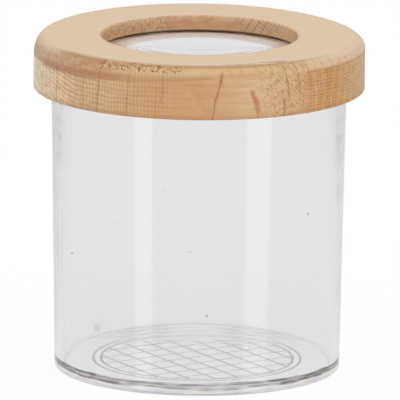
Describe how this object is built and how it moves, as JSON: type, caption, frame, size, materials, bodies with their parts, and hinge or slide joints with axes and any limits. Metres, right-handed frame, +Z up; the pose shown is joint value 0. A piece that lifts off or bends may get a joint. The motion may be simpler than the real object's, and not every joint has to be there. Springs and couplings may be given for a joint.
{
  "type": "bug catcher jar",
  "caption": "Clear plastic jar for looking at insects, with a measuring grid in its floor and a lift-off wooden lid that holds a magnifying lens.",
  "frame": {"origin": "centre of the foot, on the surface that the jar stands on", "axes": "+Z up along the jar's axis, towards the lid; +X to the right and +Y away in the pictured view"},
  "size_m": [0.0732, 0.0732, 0.0747],
  "materials": {
    "clear_cup": "clear moulded polystyrene, polished",
    "beech": "turned and sanded beech, unvarnished",
    "clear_lens": "clear moulded acrylic, polished",
    "white_collar": "natural, undyed moulded plastic, satin"
  },
  "bodies": {
    "jar": {"jar_body": "clear_cup"},
    "lid": {"lid_ring": "beech", "lens": "clear_lens", "lens_collar": "white_collar"}
  },
  "joints": [
    {"name": "lid_lift", "type": "slide", "parent": "jar", "child": "lid", "axis": [0, 0, 1], "range_m": [0, 0.05]}
  ]
}
